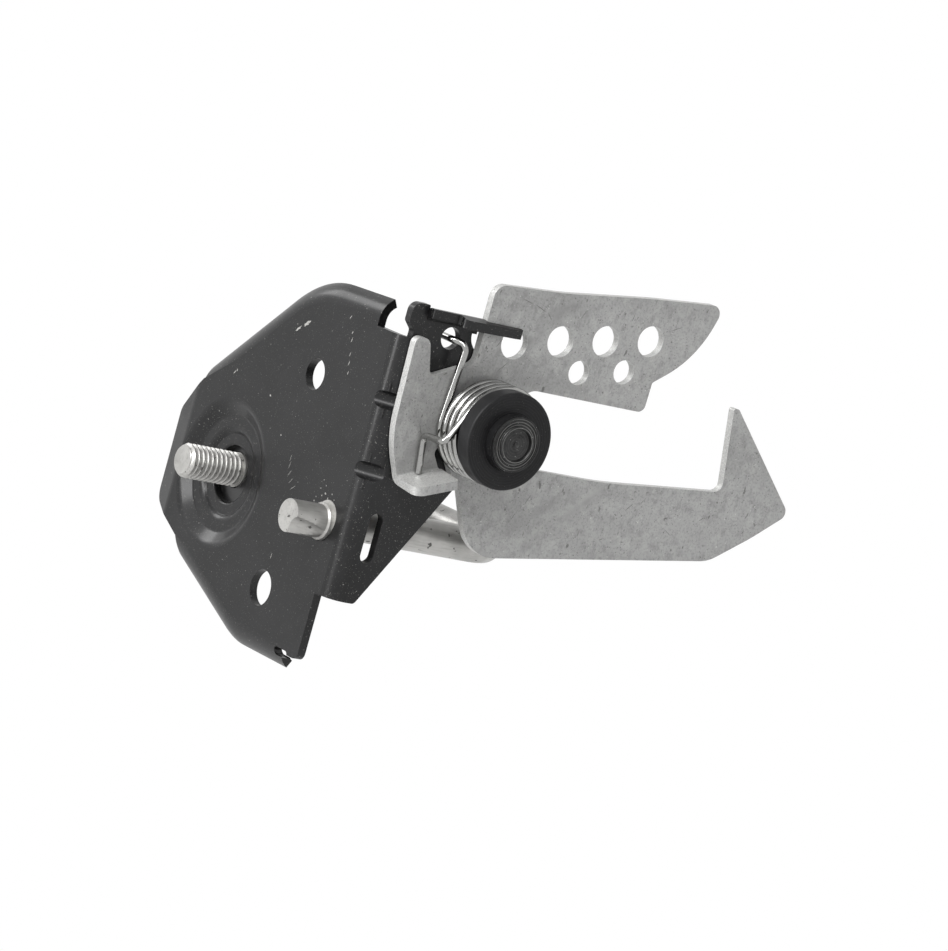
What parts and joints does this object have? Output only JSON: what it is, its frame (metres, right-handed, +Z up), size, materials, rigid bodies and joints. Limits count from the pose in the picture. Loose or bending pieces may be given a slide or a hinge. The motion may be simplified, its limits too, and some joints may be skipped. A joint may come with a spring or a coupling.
{
  "type": "bonnet latch",
  "caption": "Pressed bonnet latch bracket with a U-shaped round-bar striker and threaded stud, and a sprung flat safety hook that swings on a bushed rivet.",
  "frame": {"origin": "on the threaded stud's axis, in the plane of the bracket's mounting face", "axes": "+X along the stud away from the vehicle panel, towards the hook's tip; +Y from the hook's side to the stud's side; +Z up"},
  "size_m": [0.1259, 0.0984, 0.1004],
  "materials": {
    "coated_steel": "satin black electro-coat on pressed steel",
    "striker_zinc": "drawn round bar, zinc plated",
    "black_steel": "black coated steel",
    "zinc_steel": "matt zinc plate on sheared sheet",
    "bush_plastic": "dark turned bush, matt",
    "rivet_steel": "dark flared tubular rivet",
    "spring_steel": "bright zinc plated spring wire"
  },
  "bodies": {
    "base": {"bracket": "coated_steel", "striker": "striker_zinc", "striker_washer": "black_steel", "striker_nut": "zinc_steel", "pivot_bush": "bush_plastic", "pivot_rivet": "rivet_steel", "torsion_spring": "spring_steel"},
    "hook": {"hook_plate": "zinc_steel"}
  },
  "joints": [
    {"name": "hook_pivot", "type": "hinge", "parent": "base", "child": "hook", "pos_m": [0.0232, -0.0567, 0.0279], "axis": [0, 1, 0], "range_deg": [0, 13], "stiffness_Nm_per_rad": 0.4, "springref_deg": -34.38, "deforming": ["torsion_spring"]}
  ]
}
